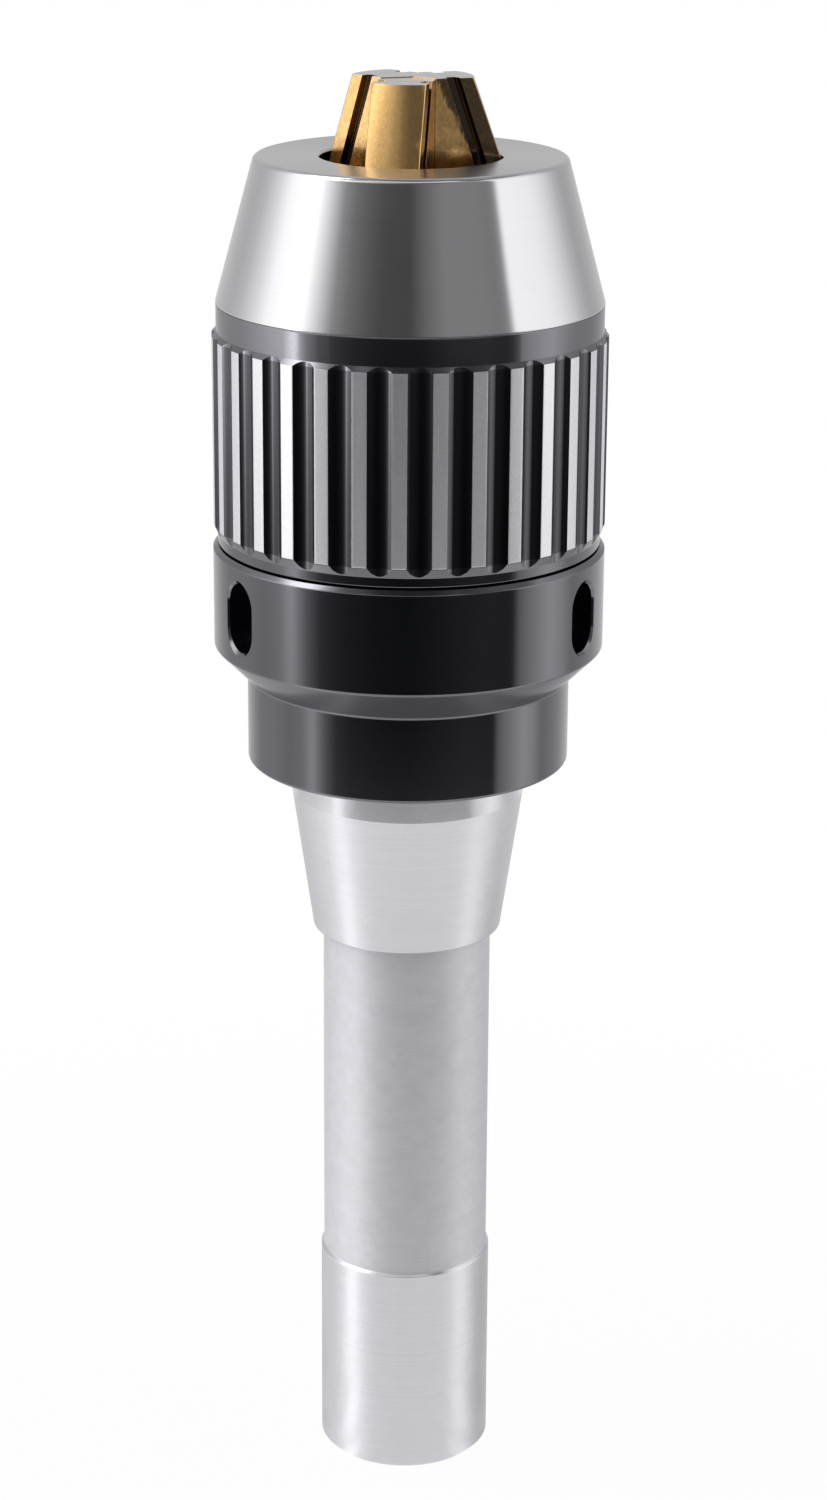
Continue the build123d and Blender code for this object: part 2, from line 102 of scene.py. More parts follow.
class Paint(Wiring):
    def __init__(self, owner):
        owner.use_nodes = True
        owner.node_tree.nodes.clear()
        super().__init__(owner.node_tree)
        self.owner = owner

    def math(self, operation, a, b=0.0):
        made = self.node("ShaderNodeMath", {"operation": operation}, {0: a, 1: b})
        return Num(self, made.outputs[0])

    def between(self, value, low, high):  # 0 below low, 1 above high, smooth in between
        made = self.node("ShaderNodeMapRange", {"interpolation_type": "SMOOTHSTEP"},
                         {"Value": value, "From Min": low, "From Max": high})
        return Num(self, made.outputs["Result"])

    def band(self, value, low, high, fadeIn, fadeOut):  # 1 from low to high, in millimetres
        rise = self.between(value, low * mm, (low + fadeIn) * mm)
        return rise * (1 - self.between(value, (high - fadeOut) * mm, high * mm))

    def blend(self, share, a, b):  # colours
        made = self.node("ShaderNodeMix", {"data_type": "RGBA"}, {0: share, 6: a, 7: b})
        return made.outputs[2]

    def dimmed(self, colour, level):
        return self.blend(level, grey(0.0), colour)

    def place(self):
        coord = self.node("ShaderNodeTexCoord").outputs["Object"]
        parts = self.node("ShaderNodeSeparateXYZ", inputs={0: coord})
        return [Num(self, parts.outputs[i]) for i in range(3)]

    def fromAxis(self, x, y):  # distance from the spindle's axis
        return self.math("SQRT", x * x + y * y)

    def noise(self, vector, scale, detail=2.0, rough=0.5):
        made = self.node("ShaderNodeTexNoise", inputs={
            "Vector": vector, "Scale": scale, "Detail": detail, "Roughness": rough})
        return Num(self, made.outputs["Fac"])

    def vector(self, x, y, z):
        return self.node("ShaderNodeCombineXYZ", inputs={0: x, 1: y, 2: z}).outputs[0]

    def bump(self, height, strength, distance):
        made = self.node("ShaderNodeBump", inputs={
            "Height": height, "Strength": strength, "Distance": distance})
        return made.outputs[0]

    def emission(self, colour, strength):
        made = self.node("ShaderNodeEmission", inputs={"Color": colour, "Strength": strength})
        return made.outputs[0]

    def mixed(self, share, a, b):  # shaders
        return self.node("ShaderNodeMixShader", inputs={0: share, 1: a, 2: b}).outputs[0]

    def finish(self, shader, kind="ShaderNodeOutputMaterial"):
        self.node(kind, inputs={"Surface": shader})
        return self.owner

    def surface(self, **sockets):
        inputs = {key.replace("_", " "): value for key, value in sockets.items()}
        return self.finish(self.node("ShaderNodeBsdfPrincipled", inputs=inputs).outputs[0])


def fillRamp(ramp, stops):
    while len(ramp.elements) > 1:
        ramp.elements.remove(ramp.elements[-1])
    ramp.elements[0].position = stops[0][0]
    ramp.elements[0].color = stops[0][1]
    for place, colour in stops[1:]:
        ramp.elements.new(place).color = colour


def grey(level):
    return (level, level, level, 1.0)


def newPaint(name):
    return Paint(bpy.data.materials.new(name))


# studio: camera, light tent, floor and white surround. A glow is named for what mirrors it and
# lists brightness by degrees round from the camera, positive to its right. The tent places
# glows by height, the ceiling and the floor by distance from the axis.

bodyGlow = (
    (-180, 0.8), (-150, 0.85), (-130, 0.62), (-110, 0.68), (-92, 0.57), (-80, 0.68), (-71, 1.12),
    (-66, 0.72), (-60, 0.34), (-52, 0.1), (-40, 0.045), (-20, 0.02), (0, 0.012), (20, 0.03),
    (45, 0.06), (63, 0.05), (67, 0.45), (73, 0.65), (80, 0.86), (90, 1.15), (100, 0.93),
    (110, 0.55), (130, 0.68), (150, 0.9), (180, 0.8))
edgeGlow = (
    (-180, 0.7), (-150, 0.75), (-130, 0.8), (-115, 0.95), (-100, 1.35), (-86, 1.9), (-76, 2.3),
    (-73, 4.4), (-69, 4.4), (-67, 1.9), (-62, 0.9), (-54, 0.42), (-45, 0.18), (-34, 0.09),
    (-20, 0.05), (0, 0.035), (20, 0.055), (45, 0.08), (63, 0.09), (67, 0.8), (75, 1.1),
    (90, 1.4), (100, 1.05), (112, 0.75), (130, 0.65), (150, 0.72), (180, 0.7))
flankGlow = (
    (-180, 0.65), (-130, 0.7), (-112, 1.0), (-95, 1.6), (-70, 1.9), (-60, 0.8), (-45, 0.2),
    (-20, 0.08), (10, 0.08), (24, 0.42), (44, 0.42), (56, 0.12), (64, 0.3), (70, 1.1),
    (90, 1.35), (110, 0.85), (130, 0.6), (180, 0.65))
noseGlow = (
    (-180, 0.6), (-130, 0.6), (-118, 0.72), (-104, 1.05), (-92, 1.5), (-68, 1.8), (-62, 1.3),
    (-54, 0.75), (-47, 0.34), (-38, 0.2), (-28, 0.13), (-18, 0.085), (0, 0.08), (8, 0.17),
    (22, 0.3), (45, 0.29), (56, 0.26), (61, 0.34), (64.5, 1.4), (90, 1.3), (100, 1.15),
    (110, 0.92), (120, 0.66), (130, 0.52), (150, 0.55), (180, 0.6))
jawGlow = (
    (-180, 0.55), (-130, 0.6), (-110, 1.0), (-92, 2.4), (-66, 2.8), (-58, 2.3), (-46, 1.4),
    (-37, 1.0), (-28, 0.68), (-20, 0.45), (-13, 0.32), (-5, 0.21), (0, 0.185), (17, 0.17),
    (30, 0.25), (45, 0.35), (60, 0.5), (66, 1.2), (90, 1.2), (110, 0.9), (130, 0.55),
    (180, 0.55))
rimGlow = (
    (-180, 0.5), (-116, 0.6), (-106, 3.0), (-98, 5.0), (-88, 5.0), (-79, 1.2), (-70, 0.4),
    (-56, 0.25), (-46, 0.9), (46, 0.9), (56, 0.1), (80, 0.3), (180, 0.5))
faceGlow = (
    (-180, 0.35), (-110, 0.35), (-70, 0.3), (-40, 0.06), (0, 0.045), (50, 0.06), (80, 0.3),
    (180, 0.35))
shankGlow = (
    (-180, 0.6), (-140, 0.75), (-114, 0.8), (-96, 0.95), (-84, 1.32), (-74, 1.38), (-66, 1.07),
    (-53, 0.89), (-40, 0.82), (0, 0.8), (52, 0.8), (68, 0.86), (78, 1.04), (90, 1.02),
    (100, 0.85), (114, 0.62), (136, 0.52), (180, 0.6))
taperGlow = (
    (-180, 0.6), (-140, 0.72), (-110, 0.9), (-88, 1.12), (-70, 1.14), (-55, 1.12), (-30, 1.12),
    (0, 1.1), (60, 1.05), (80, 0.98), (100, 0.85), (120, 0.7), (180, 0.6))

studio = {
    "cameraPlace": (0.00079, -0.4453, 0.25205),
    "cameraPitch": 18.25,       # degrees below level
    "cameraRoll": 0.36,
    "lens": 81.5,
    "clip": (0.01, 20),
    "brightest": 5.0,           # of all glows
    "tentRadius": 1.0,
    "tentLow": -0.6,
    "tentHigh": 1.6,
    "tentSides": 180,
    "tent": ((-0.12, bodyGlow), (-0.02, edgeGlow), (0.05, flankGlow), (0.2, noseGlow),
             (0.60, noseGlow), (0.78, jawGlow), (1.1, jawGlow), (1.3, rimGlow)),
    "ceiling": ((0.55, faceGlow), (0.7, rimGlow)),
    "floorRadius": 0.27,
    "discSides": 128,           # of the floor and the ceiling
    "floorDrop": 0.00002,       # below the shank's end face
    "floorTone": 0.86,
    "floorNear": 0.965,         # share of plain white under the object, so that its shadow shows
    "floorFadeFrom": 0.03,
    "floorFadeTo": 0.2,
    # the floor as the shank mirrors it, by how far a reflection reaches out from the steel
    "floor": ((0.002, shankGlow), (0.012, shankGlow), (0.04, shankGlow), (0.1, shankGlow),
              (0.22, taperGlow)),
    "shankRadius": 0.012,
    "shankShare": 0.8,          # of that radius lies between the axis and the steel, on average
    "aroundLevel": 0.7,         # what the world gives to matt surfaces
}


def makeCamera():
    data = bpy.data.cameras.new("photoCamera")
    data.lens = studio["lens"]
    data.clip_start, data.clip_end = studio["clip"]
    camera = bpy.data.objects.new("photoCamera", data)
    tilt = Matrix.Rotation(math.radians(90 - studio["cameraPitch"]), 4, "X")
    roll = Matrix.Rotation(math.radians(studio["cameraRoll"]), 4, "Z")
    camera.matrix_world = Matrix.Translation(studio["cameraPlace"]) @ tilt @ roll
    scene.collection.objects.link(camera)
    scene.camera = camera


def addObject(name, mesh):
    made = bpy.data.objects.new(name, mesh)
    scene.collection.objects.link(made)
    return made


def evenTurns(count):
    return [2 * math.pi * i / count for i in range(count)]


def addTube(name, radius, low, high, count):
    points = [(radius * math.cos(turn), radius * math.sin(turn), z)
              for z in (low, high) for turn in evenTurns(count)]
    faces = [(i, count + i, count + (i + 1) % count, (i + 1) % count) for i in range(count)]
    mesh = bpy.data.meshes.new(name)
    mesh.from_pydata(points, [], faces)
    return addObject(name, mesh)


def addDisc(name, radius, z):
    mesh = bpy.data.meshes.new(name)
    shape = bmesh.new()
    bmesh.ops.create_circle(shape, cap_ends=True, segments=studio["discSides"], radius=radius,
                            matrix=Matrix.Translation((0, 0, z)))
    shape.to_mesh(mesh)
    shape.free()
    return addObject(name, mesh)


def glowing(paint, rings, distance, x, y):  # brightness by degrees round, at each ring's distance
    turn = paint.math("ARCTAN2", x, 0 - y) / (2 * math.pi) + 0.5
    level = before = None
    for place, glow in rings:
        stops = [((angle + 180) / 360, grey(bright / studio["brightest"]))
                 for angle, bright in glow]
        here = paint.node("ShaderNodeValToRGB", {"stops": stops}, {"Fac": turn}).outputs[0]
        if level is None:
            level = here
        else:
            level = paint.blend(paint.between(distance, before, place), level, here)
        before = place
    return paint.emission(level, studio["brightest"])


def makeTent():
    tent = addTube("lightTent", studio["tentRadius"], studio["tentLow"], studio["tentHigh"],
                   studio["tentSides"])
    paint = newPaint("tentCloth")
    x, y, z = paint.place()
    tent.data.materials.append(paint.finish(glowing(paint, studio["tent"], z, x, y)))
    tent.visible_camera = False


def makeCeiling():
    ceiling = addDisc("lightCeiling", studio["tentRadius"], studio["tentHigh"])
    paint = newPaint("ceilingCloth")
    x, y = paint.place()[:2]
    glow = glowing(paint, studio["ceiling"], paint.fromAxis(x, y), x, y)
    ceiling.data.materials.append(paint.finish(glow))
    ceiling.visible_camera = False


def floorRing(reach, glow):  # a reflection leaves the round shank at half its angle, so it turns in
    radius = studio["shankRadius"]
    stops = []
    for angle, bright in glow:
        half = math.radians(angle / 2)
        across = radius * math.sin(half) + reach * math.sin(2 * half)
        ahead = radius * math.cos(half) + reach * math.cos(2 * half)
        stops.append((math.degrees(math.atan2(across, ahead)), bright))
    return reach + studio["shankShare"] * radius, sorted(stops)


def makeFloor():
    floor = addDisc("paleFloor", studio["floorRadius"], -studio["floorDrop"])
    paint = newPaint("paleFloor")
    rays = paint.node("ShaderNodeLightPath").outputs
    x, y = paint.place()[:2]
    radius = paint.fromAxis(x, y)
    fade = paint.between(radius, studio["floorFadeFrom"], studio["floorFadeTo"])
    share = studio["floorNear"] + fade * (1 - studio["floorNear"])
    cloth = paint.node("ShaderNodeBsdfDiffuse", inputs={"Color": grey(studio["floorTone"])})
    seen = paint.mixed(Num(paint, rays["Is Camera Ray"]) * share, cloth.outputs[0],
                       paint.emission(grey(1.0), 1.0))
    rings = [floorRing(reach, glow) for reach, glow in studio["floor"]]
    mirrored = paint.mixed(rays["Is Glossy Ray"], seen, glowing(paint, rings, radius, x, y))
    # from below it is clear, so that the shank's end shows
    below = paint.node("ShaderNodeNewGeometry").outputs["Backfacing"]
    clear = paint.node("ShaderNodeBsdfTransparent").outputs[0]
    floor.data.materials.append(paint.finish(paint.mixed(below, mirrored, clear)))


def makeSurround():
    world = bpy.data.worlds.new("whiteSurround")
    scene.world = world
    paint = Paint(world)
    rays = paint.node("ShaderNodeLightPath").outputs
    seen = paint.math("MAXIMUM", rays["Is Camera Ray"], rays["Is Glossy Ray"])
    seen = paint.math("MAXIMUM", seen, rays["Is Transmission Ray"])
    around, white = (
        paint.node("ShaderNodeBackground", inputs={"Color": grey(1.0), "Strength": level})
        for level in (studio["aroundLevel"], 1.0))
    paint.finish(paint.mixed(seen, around.outputs[0], white.outputs[0]), "ShaderNodeOutputWorld")


makeCamera()
makeTent()
makeCeiling()
makeFloor()
makeSurround()
scene.view_settings.view_transform = "Standard"
print("studio ready")


# finishes. Heights and depths are in millimetres; a noise is its scale, detail and roughness.
# What a noise adds swings about its middle.

middle = 0.5
acrossRings = 0.25  # turned faces blur a reflection across their rings
markDepth = 0.00001  # of tool marks, in metres

steelLook = {
    "tint": (0.99, 0.985, 1.035, 1.0), "tone": 0.74, "rough": 0.26, "anisotropic": 0.6,
    "lines": (3500, 3.0, 0.6), "lineTone": 0.09, "lineBump": 0.25,
    "cloud": (420, 4.0, 0.6), "cloudTone": 0.08, "cloudRough": 0.08,
    # the relief between pilot and taper is duller and cloudier
    "reliefLow": 30.7, "reliefFadeIn": 0.3, "reliefHigh": 80.1, "reliefFadeOut": 0.2,
    "reliefTone": 0.77, "reliefRough": 0.58, "reliefDull": 0.4, "reliefCloud": 0.08,
}
noseLook = {
    "tint": (0.995, 0.99, 1.02, 1.0), "tone": 0.63, "rough": 0.13, "anisotropic": 0.6,
    "lines": (4200, 3.0, 0.6), "lineTone": 0.05, "lineRough": 0.04, "lineBump": 0.15,
    "cloud": (140, 2.0, 0.5), "cloudRough": 0.04,
    "faceRough": 0.26, "faceFrom": 0.06, "faceTo": 0.02,  # below the flat face
}
oxideLook = {
    "tone": (0.0034, 0.0043, 0.0064, 1.0), "tint": (0.92, 0.915, 1.0, 1.0), "rough": 0.12,
    "ior": 2.6, "anisotropic": 0.4,
    "lines": (3000, 3.0, 0.6), "grain": (2600, 2.0, 0.7), "grainRough": 0.08,
    "bump": 0.15, "grainBump": 0.6,
    # bright lands; the flutes mirror less than the bands, as painted shade in the flutes
    "landLow": 137.95, "landHigh": 163.6, "landFade": 0.1, "landRadius": 26.375, "landEdge": 0.015,
    "landTint": (1.0, 0.985, 1.015, 1.0), "landTone": 0.85, "landGrain": 0.2, "landMetal": 0.76,
    "landRough": 0.36, "fluteMetal": 0.56,
}
goldLook = {
    "tone": (0.79, 0.485, 0.175, 1.0), "level": 0.85, "rough": 0.11, "coat": 0.5,
    "brush": (900, 3.0, 0.6), "brushAcross": 5, "brushAlong": 0.35, "brushTone": 0.3,
    "brushRough": 0.06, "brushBump": 0.2,
    "grain": (1500, 3.0, 0.65), "grainTone": 0.35, "grainBump": 0.5,
    "bump": 0.35, "bumpDepth": 0.00002,
    # the flanks are brushed more coarsely
    "flankFrom": 0.12, "flankTo": 0.02, "flankBrush": 0.25, "flankGrain": 0.5, "flankRough": 0.1,
    # the tips are ground bare, each to its own height
    "tipTone": (0.62, 0.565, 0.555, 1.0), "tipRough": 0.1, "tipDepth": 0.06,
    "tipDrop": {"a": 0.16, "b": 0.0, "c": 0.06},
    # side grooves, measured from the axis at the tip; painted shade in them, deeper on some jaws
    "grooveInner": 3.67, "grooveOuter": 5.41, "grooveSide": 3.57, "grooveSoft": 0.05,
    "grooveShadeTone": {"a": 0.2, "b": 0.05, "c": 0.25}, "grooveRough": 0.08,
    # one jaw's flank gets painted shade above a slanting line, with specks left lighter, so that
    # the part below reads as lit; the line is measured from the axis at the tip
    "dullJaw": "b", "shadeLineFrom": 2.1, "shadeLineSlope": 0.52, "shadeLineSoft": 0.35, "shadeTone": 0.15,
    "shadeSideFrom": 0.02, "shadeSideTo": 0.01,
    "streak": (900, 3.0, 0.7), "streakAcross": 4, "streakAlong": 0.8, "streakReach": 2.6,
    "speck": (5200, 1.0, 0.5), "speckFrom": 0.6, "speckTo": 0.75, "speckTone": 0.25,
}
innerLook = {
    "hardened": (0.6, 0.6, 0.62, 1.0), "hardenedRough": 0.18, "hardenedSpread": 0.1,
    "bronze": (0.6, 0.4, 0.18, 1.0), "bronzeRough": 0.3, "bronzeSpread": 0.2,
    "level": 0.9, "lines": (3500, 3.0, 0.6), "lineRough": 0.12, "lineBump": 0.2,
    "cloud": (400, 2.0, 0.5),
}
rubberLook = {
    "dark": 0.012, "pale": 0.03, "rough": 0.6, "grain": (1800, 3.0, 0.6), "grainRough": 0.2,
    "bump": 0.3, "bumpDepth": 0.00003,
}


def turnedLines(paint, radius, z, noise):  # rings left by the tool: the same all round
    return paint.noise(paint.vector(radius, z, 0.0), *noise)


def groundSteel():
    look = steelLook
    paint = newPaint("groundSteel")
    x, y, z = paint.place()
    lines = turnedLines(paint, paint.fromAxis(x, y), z, look["lines"])
    cloud = paint.noise(paint.vector(x, y, z), *look["cloud"])
    relief = paint.band(z, look["reliefLow"], look["reliefHigh"], look["reliefFadeIn"],
                        look["reliefFadeOut"])
    tone = look["tone"] + relief * (look["reliefTone"] - look["tone"])
    tone = tone + (lines - middle) * look["lineTone"]
    tone = tone + (cloud - middle) * (look["cloudTone"] + relief * look["reliefCloud"])
    rough = look["rough"] + relief * (look["reliefRough"] - look["rough"])
    rough = rough + (cloud - middle) * look["cloudRough"]
    return paint.surface(
        Base_Color=paint.dimmed(look["tint"], tone), Roughness=rough,
        Metallic=1 - relief * look["reliefDull"],
        Anisotropic=look["anisotropic"], Anisotropic_Rotation=acrossRings,
        Normal=paint.bump(lines, look["lineBump"], markDepth))


def turnedSteel(faceZ):
    look = noseLook
    paint = newPaint("turnedSteel")
    x, y, z = paint.place()
    lines = turnedLines(paint, paint.fromAxis(x, y), z, look["lines"])
    cloud = paint.noise(paint.vector(x, y, z), *look["cloud"])
    face = paint.between(z, faceZ - look["faceFrom"] * mm, faceZ - look["faceTo"] * mm)
    tone = look["tone"] + (lines - middle) * look["lineTone"]
    rough = look["rough"] + face * (look["faceRough"] - look["rough"])
    rough = rough + (cloud - middle) * look["cloudRough"] + (lines - middle) * look["lineRough"]
    return paint.surface(
        Base_Color=paint.dimmed(look["tint"], tone), Roughness=rough, Metallic=1.0,
        Anisotropic=look["anisotropic"], Anisotropic_Rotation=acrossRings,
        Normal=paint.bump(lines, look["lineBump"], markDepth))


def blackOxide():
    look = oxideLook
    paint = newPaint("blackOxide")
    x, y, z = paint.place()
    radius = paint.fromAxis(x, y)
    lines = turnedLines(paint, radius, z, look["lines"])
    grain = paint.noise(paint.vector(x, y, z), *look["grain"])
    raised = paint.between(radius, look["landRadius"] * mm,
                           (look["landRadius"] + look["landEdge"]) * mm)
    fluted = paint.band(z, look["landLow"], look["landHigh"], look["landFade"], look["landFade"])
    land, flute = raised * fluted, fluted * (1 - raised)
    steel = paint.dimmed(look["landTint"], look["landTone"] + (grain - middle) * look["landGrain"])
    rough = look["rough"] + land * (look["landRough"] - look["rough"])
    rough = rough + (grain - middle) * look["grainRough"]
    return paint.surface(
        Base_Color=paint.blend(land, look["tone"], steel), Roughness=rough,
        # painted shade: the flutes mirror less than the bands of the same oxide
        Metallic=land * look["landMetal"] + flute * look["fluteMetal"],
        IOR=look["ior"], Specular_Tint=look["tint"],
        Anisotropic=look["anisotropic"], Anisotropic_Rotation=acrossRings,
        Normal=paint.bump(lines + grain * look["grainBump"], look["bump"], markDepth))


def flankPaintedShade(paint, tone, place, across, line):  # painted shade on one jaw's flank, above a slanting line
    look = goldLook
    x, y, z = place
    streak = paint.noise(paint.vector(x * look["streakAcross"], y * look["streakAcross"],
                                      z * look["streakAlong"]), *look["streak"])
    line = line + (streak - middle) * look["streakReach"] * mm
    start, soft, side = (look[key] * mm for key in ("shadeLineFrom", "shadeLineSoft", "grooveSide"))
    shadeShare = paint.between(line, start - soft, start + soft)
    shadeShare = shadeShare * (1 - paint.between(across, -side - look["shadeSideFrom"] * mm,
                                     -side + look["shadeSideTo"] * mm))
    speck = paint.noise(paint.vector(x, y, z), *look["speck"])
    speck = paint.between(speck, look["speckFrom"], look["speckTo"])
    return tone * (1 - shadeShare * (1 - look["shadeTone"] - speck * look["speckTone"]))


def goldCoating(letter):
    look = goldLook
    low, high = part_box("jaw_" + letter)
    azimuth = math.atan2(low.y + high.y, low.x + high.x)
    paint = newPaint("goldCoating" + letter.upper())
    x, y, z = paint.place()
    along = x * math.cos(azimuth) + y * math.sin(azimuth)
    across = y * math.cos(azimuth) - x * math.sin(azimuth)
    aside = paint.math("ABSOLUTE", across)
    depth = along + (z - high.z) * math.tan(math.radians(jawTilt))  # from the axis, at the tip
    inner, outer, side, soft = (
        look[key] * mm for key in ("grooveInner", "grooveOuter", "grooveSide", "grooveSoft"))
    groove = paint.between(depth, inner - soft, inner + soft)
    groove = groove * (1 - paint.between(depth, outer - soft, outer + soft))
    groove = groove * (1 - paint.between(aside, side - soft, side + soft))
    flank = paint.between(aside, side - look["flankFrom"] * mm, side - look["flankTo"] * mm)
    brush = paint.noise(paint.vector(x * look["brushAcross"], y * look["brushAcross"],
                                     z * look["brushAlong"]), *look["brush"])
    grain = paint.noise(paint.vector(x, y, z), *look["grain"])
    top = high.z - look["tipDrop"][letter] * mm
    tip = paint.between(z, top - look["tipDepth"] * mm, top - look["tipDepth"] * mm / 2)
    tone = look["level"] + (brush - middle) * (look["brushTone"] + flank * look["flankBrush"])
    tone = tone + (grain - middle) * (look["grainTone"] + flank * look["flankGrain"])
    # painted shade in the side grooves, each jaw's own share
    tone = tone * (1 - groove * (1 - look["grooveShadeTone"][letter]))
    # painted shade over the upper part of one jaw's flank
    if letter == look["dullJaw"]:
        line = along + (z - high.z) * look["shadeLineSlope"]
        tone = flankPaintedShade(paint, tone, (x, y, z), across, line)
    rough = look["rough"] + (brush - middle) * look["brushRough"] + groove * look["grooveRough"]
    rough = rough + tip * look["tipRough"] + flank * look["flankRough"]
    height = brush * look["brushBump"] + grain * (look["grainBump"] + flank)
    return paint.surface(
        Base_Color=paint.blend(tip, paint.dimmed(look["tone"], tone), look["tipTone"]),
        Metallic=1.0, Roughness=rough, Coat_Weight=look["coat"],
        Normal=paint.bump(height, look["bump"], look["bumpDepth"]))


def plainMetal(name, tone, rough, spread):
    look = innerLook
    paint = newPaint(name)
    x, y, z = paint.place()
    lines = turnedLines(paint, paint.fromAxis(x, y), z, look["lines"])
    cloud = paint.noise(paint.vector(x, y, z), *look["cloud"])
    level = look["level"] + (lines - middle) * spread + (cloud - middle) * spread
    return paint.surface(
        Base_Color=paint.dimmed(tone, level), Metallic=1.0,
        Roughness=rough + (lines - middle) * look["lineRough"],
        Normal=paint.bump(lines, look["lineBump"], markDepth))


def mouldedRubber():
    look = rubberLook
    paint = newPaint("mouldedRubber")
    grain = paint.noise(paint.vector(*paint.place()), *look["grain"])
    return paint.surface(
        Base_Color=paint.blend(grain, grey(look["dark"]), grey(look["pale"])),
        Roughness=look["rough"] + (grain - middle) * look["grainRough"],
        Normal=paint.bump(grain, look["bump"], look["bumpDepth"]))


finishes = {
    "ground_steel": groundSteel(),
    "bright_steel": turnedSteel(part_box("nose_cone")[1].z),
    "black_oxide": blackOxide(),
    "hardened_steel": plainMetal("hardenedSteel", innerLook["hardened"],
                                 innerLook["hardenedRough"], innerLook["hardenedSpread"]),
    "bearing_bronze": plainMetal("bearingBronze", innerLook["bronze"],
                                 innerLook["bronzeRough"], innerLook["bronzeSpread"]),
    "seal_rubber": mouldedRubber(),
}
goldFinishes = {"jaw_" + letter: goldCoating(letter) for letter in "abc"}
nodeSlots = {part["node"]: part["material_slot"] for part in frame["record"]["subparts"]}


def finishFor(node):
    return goldFinishes[node] if node in goldFinishes else finishes[nodeSlots[node]]


for nodeName, node in frame["nodes"].items():
    node.data.materials.clear()
    node.data.materials.append(finishFor(nodeName))
print("finishes ready:", len(finishes) + len(goldFinishes))


# mesh tools, in millimetres until a mesh is made

edges = {
    "rounding": 0.12,      # where a corner names none
    "steps": 4,
    "share": 0.45,         # of its shorter side that a rounding may take
    "support": 0.08,       # a point this far along each straight keeps it straight
    "leastRoom": 0.02,
    "sharpAngle": 30,
    "evenWeight": 60,
}
tiny = 1e-6
weldGap = 1e-7    # metres
sectorGap = 2e-6  # metres, between copies of the sleeve's sector


def arcPoints(before, corner, after, rounding, steps):  # a rounded corner
    here = Vector(corner)
    back, ahead = Vector(before) - here, Vector(after) - here
    half = back.angle(ahead) / 2
    room = edges["share"] * min(back.length, ahead.length)
    reach = min(rounding / math.tan(half), room)
    rounding = reach * math.tan(half)
    back.normalize()
    ahead.normalize()
    spare = room - reach
    support = min(edges["support"], spare / 2) if spare > edges["leastRoom"] else 0.0
    centre = here + (back + ahead).normalized() * (rounding / math.sin(half))
    start, stop = here + back * reach - centre, here + ahead * reach - centre
    points = [here + back * (reach + support)] if support else []
    sweep = start.angle_signed(stop)
    for i in range(steps + 1):
        turn = Matrix.Rotation(-sweep * i / steps, 2)
        points.append(centre + turn @ start)
    return points + ([here + ahead * (reach + support)] if support else [])


def rounded(corners, closed=True, steps=edges["steps"]):  # (radius, height), rounding if named
    points = []
    count = len(corners)
    for i, corner in enumerate(corners):
        rounding = corner[2] if len(corner) > 2 else edges["rounding"]
        atEnd = not closed and i in (0, count - 1)
        if rounding == 0 or atEnd:
            points.append(Vector(corner[:2]))
            continue
        before, after = corners[i - 1][:2], corners[(i + 1) % count][:2]
        points += arcPoints(before, corner[:2], after, rounding, steps)
    return points


def meshFrom(name, points, faces):
    mesh = bpy.data.meshes.new(name)
    mesh.from_pydata([Vector(p) * mm for p in points], [], faces)
    return mesh


def tidyMesh(mesh, distance=weldGap):
    shape = bmesh.new()
    shape.from_mesh(mesh)
    bmesh.ops.remove_doubles(shape, verts=shape.verts, dist=distance)
    bmesh.ops.recalc_face_normals(shape, faces=shape.faces)
    shape.to_mesh(mesh)
    shape.free()


def lathe(name, outline, segments, closed=True, ripple=None):
    points, rows = [], []
    for radius, z in outline:
        if radius < tiny:
            rows.append([len(points)] * segments)
            points.append((0, 0, z))
            continue
        rows.append(list(range(len(points), len(points) + segments)))
        for turn in evenTurns(segments):
            r = ripple(radius, z, turn) if ripple else radius
            points.append((r * math.cos(turn), r * math.sin(turn), z))
    faces = []
    for low, high in zip(rows, rows[1:] + (rows[:1] if closed else [])):
        for i in range(segments):
            j = (i + 1) % segments
            ring = [low[i], low[j], high[j], high[i]]
            face = [v for k, v in enumerate(ring) if v not in ring[:k]]
            if len(face) > 2:
                faces.append(face)
    mesh = meshFrom(name, points, faces)
    tidyMesh(mesh)
    return addObject(name, mesh)


def applied(piece):  # its modifiers become its mesh
    graph = bpy.context.evaluated_depsgraph_get()
    mesh = bpy.data.meshes.new_from_object(piece.evaluated_get(graph))
    piece.modifiers.clear()
    piece.data = mesh
    return piece


def cutAway(piece, cutters):
    for cutter in cutters:
        change = piece.modifiers.new("cut", "BOOLEAN")
        change.operation, change.solver, change.object = "DIFFERENCE", "MANIFOLD", cutter
    applied(piece)
    for cutter in cutters:
        bpy.data.objects.remove(cutter)
    return piece


def prism(name, loops):  # closed solid through loops of equally many points
    count = len(loops[0])
    points = [p for loop in loops for p in loop]
    faces = [list(range(count)), list(range(len(points) - count, len(points)))]
    for k in range(len(loops) - 1):
        low, high = k * count, (k + 1) * count
        faces += [(low + i, low + (i + 1) % count, high + (i + 1) % count, high + i)
                  for i in range(count)]
    mesh = meshFrom(name, points, faces)
    tidyMesh(mesh)
    return addObject(name, mesh)


def rotated(point, degrees):
    return Matrix.Rotation(math.radians(degrees), 3, "Z") @ Vector(point)


def evenNormals(piece):  # flats stay flat beside their rounded edges
    piece.data.shade_smooth()
    piece.data.set_sharp_from_angle(angle=math.radians(edges["sharpAngle"]))
    even = piece.modifiers.new("even", "WEIGHTED_NORMAL")
    even.keep_sharp, even.weight = True, edges["evenWeight"]
    return applied(piece)


def dress(piece, node, body):
    evenNormals(piece)
    piece.data.materials.clear()
    piece.data.materials.append(finishFor(node))
    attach(piece, body)
    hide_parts(node)
    print(piece.name, "stands for", node, "with", len(piece.data.polygons), "faces")


# shank, with its keyway, drawbar thread, journal and flange

